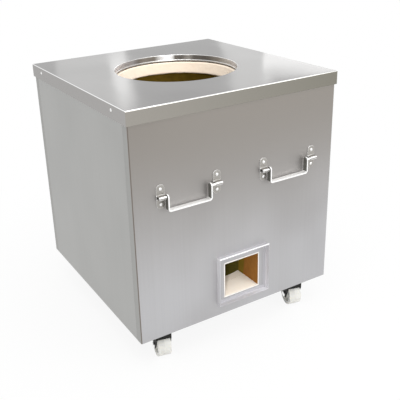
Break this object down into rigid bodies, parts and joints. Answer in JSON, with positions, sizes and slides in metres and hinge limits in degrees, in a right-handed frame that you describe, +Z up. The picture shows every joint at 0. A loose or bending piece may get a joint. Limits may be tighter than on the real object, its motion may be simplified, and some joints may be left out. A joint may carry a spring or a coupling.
{
  "type": "clay tandoor oven",
  "caption": "Free-standing square clay oven: a steel cabinet round a clay pot, with a round open mouth on top, a low fire vent, bail handles on two faces and swivel castors.",
  "frame": {"origin": "on the floor, under the centre of the cabinet", "axes": "+Z up; the front face with the fire vent looks along -Y; +X is to the right of a person facing that front"},
  "size_m": [0.722, 0.753, 0.8105],
  "materials": {
    "cabinet_sheet": "satin",
    "cap_sheet": "satin",
    "frame_sheet": "satin",
    "angle_steel": "matte",
    "fired_clay": "matte",
    "mortar": "matte",
    "blanket": "matte",
    "loose_insulation": "matte",
    "handle_steel": "satin",
    "fastener_steel": "satin",
    "castor_steel": "satin",
    "ball_steel": "polished",
    "nylon": "satin"
  },
  "bodies": {
    "cabinet": {"base_tray": "angle_steel", "castor_bearers": "angle_steel", "corner_posts": "angle_steel", "top_rails": "angle_steel", "front_panel": "cabinet_sheet", "back_panel": "cabinet_sheet", "left_panel": "cabinet_sheet", "right_panel": "cabinet_sheet", "top_cap": "cap_sheet", "mouth_collar": "cap_sheet", "cap_rivets": "fastener_steel", "hearth_slab": "fired_clay", "clay_pot": "fired_clay", "mouth_seal": "mortar", "fibre_blanket": "blanket", "loose_fill": "loose_insulation", "vent_liner": "fired_clay", "vent_frame": "frame_sheet", "bracket_front_left_outer": "handle_steel", "bracket_front_left_inner": "handle_steel", "bracket_front_right_outer": "handle_steel", "bracket_front_right_inner": "handle_steel", "bracket_back_left_outer": "handle_steel", "bracket_back_left_inner": "handle_steel", "bracket_back_right_outer": "handle_steel", "bracket_back_right_inner": "handle_steel", "handle_screws": "fastener_steel", "castor_bolts": "fastener_steel", "castor_plate_front_left": "castor_steel", "castor_plate_front_right": "castor_steel", "castor_plate_back_left": "castor_steel", "castor_plate_back_right": "castor_steel", "king_pin_front_left": "castor_steel", "king_pin_front_right": "castor_steel", "king_pin_back_left": "castor_steel", "king_pin_back_right": "castor_steel"},
    "bail_front_left": {"bail_front_left": "handle_steel"},
    "bail_front_right": {"bail_front_right": "handle_steel"},
    "bail_back_left": {"bail_back_left": "handle_steel"},
    "bail_back_right": {"bail_back_right": "handle_steel"},
    "swivel_front_left": {"fork_front_left": "castor_steel", "axle_front_left": "castor_steel", "ball_race_front_left": "ball_steel"},
    "wheel_front_left": {"wheel_front_left": "nylon"},
    "swivel_front_right": {"fork_front_right": "castor_steel", "axle_front_right": "castor_steel", "ball_race_front_right": "ball_steel"},
    "wheel_front_right": {"wheel_front_right": "nylon"},
    "swivel_back_left": {"fork_back_left": "castor_steel", "axle_back_left": "castor_steel", "ball_race_back_left": "ball_steel"},
    "wheel_back_left": {"wheel_back_left": "nylon"},
    "swivel_back_right": {"fork_back_right": "castor_steel", "axle_back_right": "castor_steel", "ball_race_back_right": "ball_steel"},
    "wheel_back_right": {"wheel_back_right": "nylon"}
  },
  "joints": [
    {"name": "bail_front_left_swing", "type": "hinge", "parent": "cabinet", "child": "bail_front_left", "pos_m": [-0.176, -0.368, 0.5505], "axis": [-1, 0, 0], "range_deg": [-5, 185]},
    {"name": "bail_front_right_swing", "type": "hinge", "parent": "cabinet", "child": "bail_front_right", "pos_m": [0.176, -0.368, 0.5505], "axis": [-1, 0, 0], "range_deg": [-5, 185]},
    {"name": "bail_back_left_swing", "type": "hinge", "parent": "cabinet", "child": "bail_back_left", "pos_m": [-0.176, 0.368, 0.5505], "axis": [1, 0, 0], "range_deg": [-5, 185]},
    {"name": "bail_back_right_swing", "type": "hinge", "parent": "cabinet", "child": "bail_back_right", "pos_m": [0.176, 0.368, 0.5505], "axis": [1, 0, 0], "range_deg": [-5, 185]},
    {"name": "castor_front_left_swivel", "type": "hinge", "parent": "cabinet", "child": "swivel_front_left", "pos_m": [-0.257, -0.278, 0.0854], "axis": [0, 0, 1], "continuous": true},
    {"name": "wheel_front_left_spin", "type": "hinge", "parent": "swivel_front_left", "child": "wheel_front_left", "pos_m": [-0.2642, -0.30918, 0.0375], "axis": [0.9744, -0.225, 0], "continuous": true},
    {"name": "castor_front_right_swivel", "type": "hinge", "parent": "cabinet", "child": "swivel_front_right", "pos_m": [0.257, -0.278, 0.0854], "axis": [0, 0, 1], "continuous": true},
    {"name": "wheel_front_right_spin", "type": "hinge", "parent": "swivel_front_right", "child": "wheel_front_right", "pos_m": [0.24872, -0.30891, 0.0375], "axis": [0.9659, -0.2588, 0], "continuous": true},
    {"name": "castor_back_left_swivel", "type": "hinge", "parent": "cabinet", "child": "swivel_back_left", "pos_m": [-0.257, 0.278, 0.0854], "axis": [0, 0, 1], "continuous": true},
    {"name": "wheel_back_left_spin", "type": "hinge", "parent": "swivel_back_left", "child": "wheel_back_left", "pos_m": [-0.25035, 0.2467, 0.0375], "axis": [0.9781, 0.2079, 0], "continuous": true},
    {"name": "castor_back_right_swivel", "type": "hinge", "parent": "cabinet", "child": "swivel_back_right", "pos_m": [0.257, 0.278, 0.0854], "axis": [0, 0, 1], "continuous": true},
    {"name": "wheel_back_right_spin", "type": "hinge", "parent": "swivel_back_right", "child": "wheel_back_right", "pos_m": [0.25421, 0.24612, 0.0375], "axis": [0.9962, -0.0872, 0], "continuous": true}
  ]
}
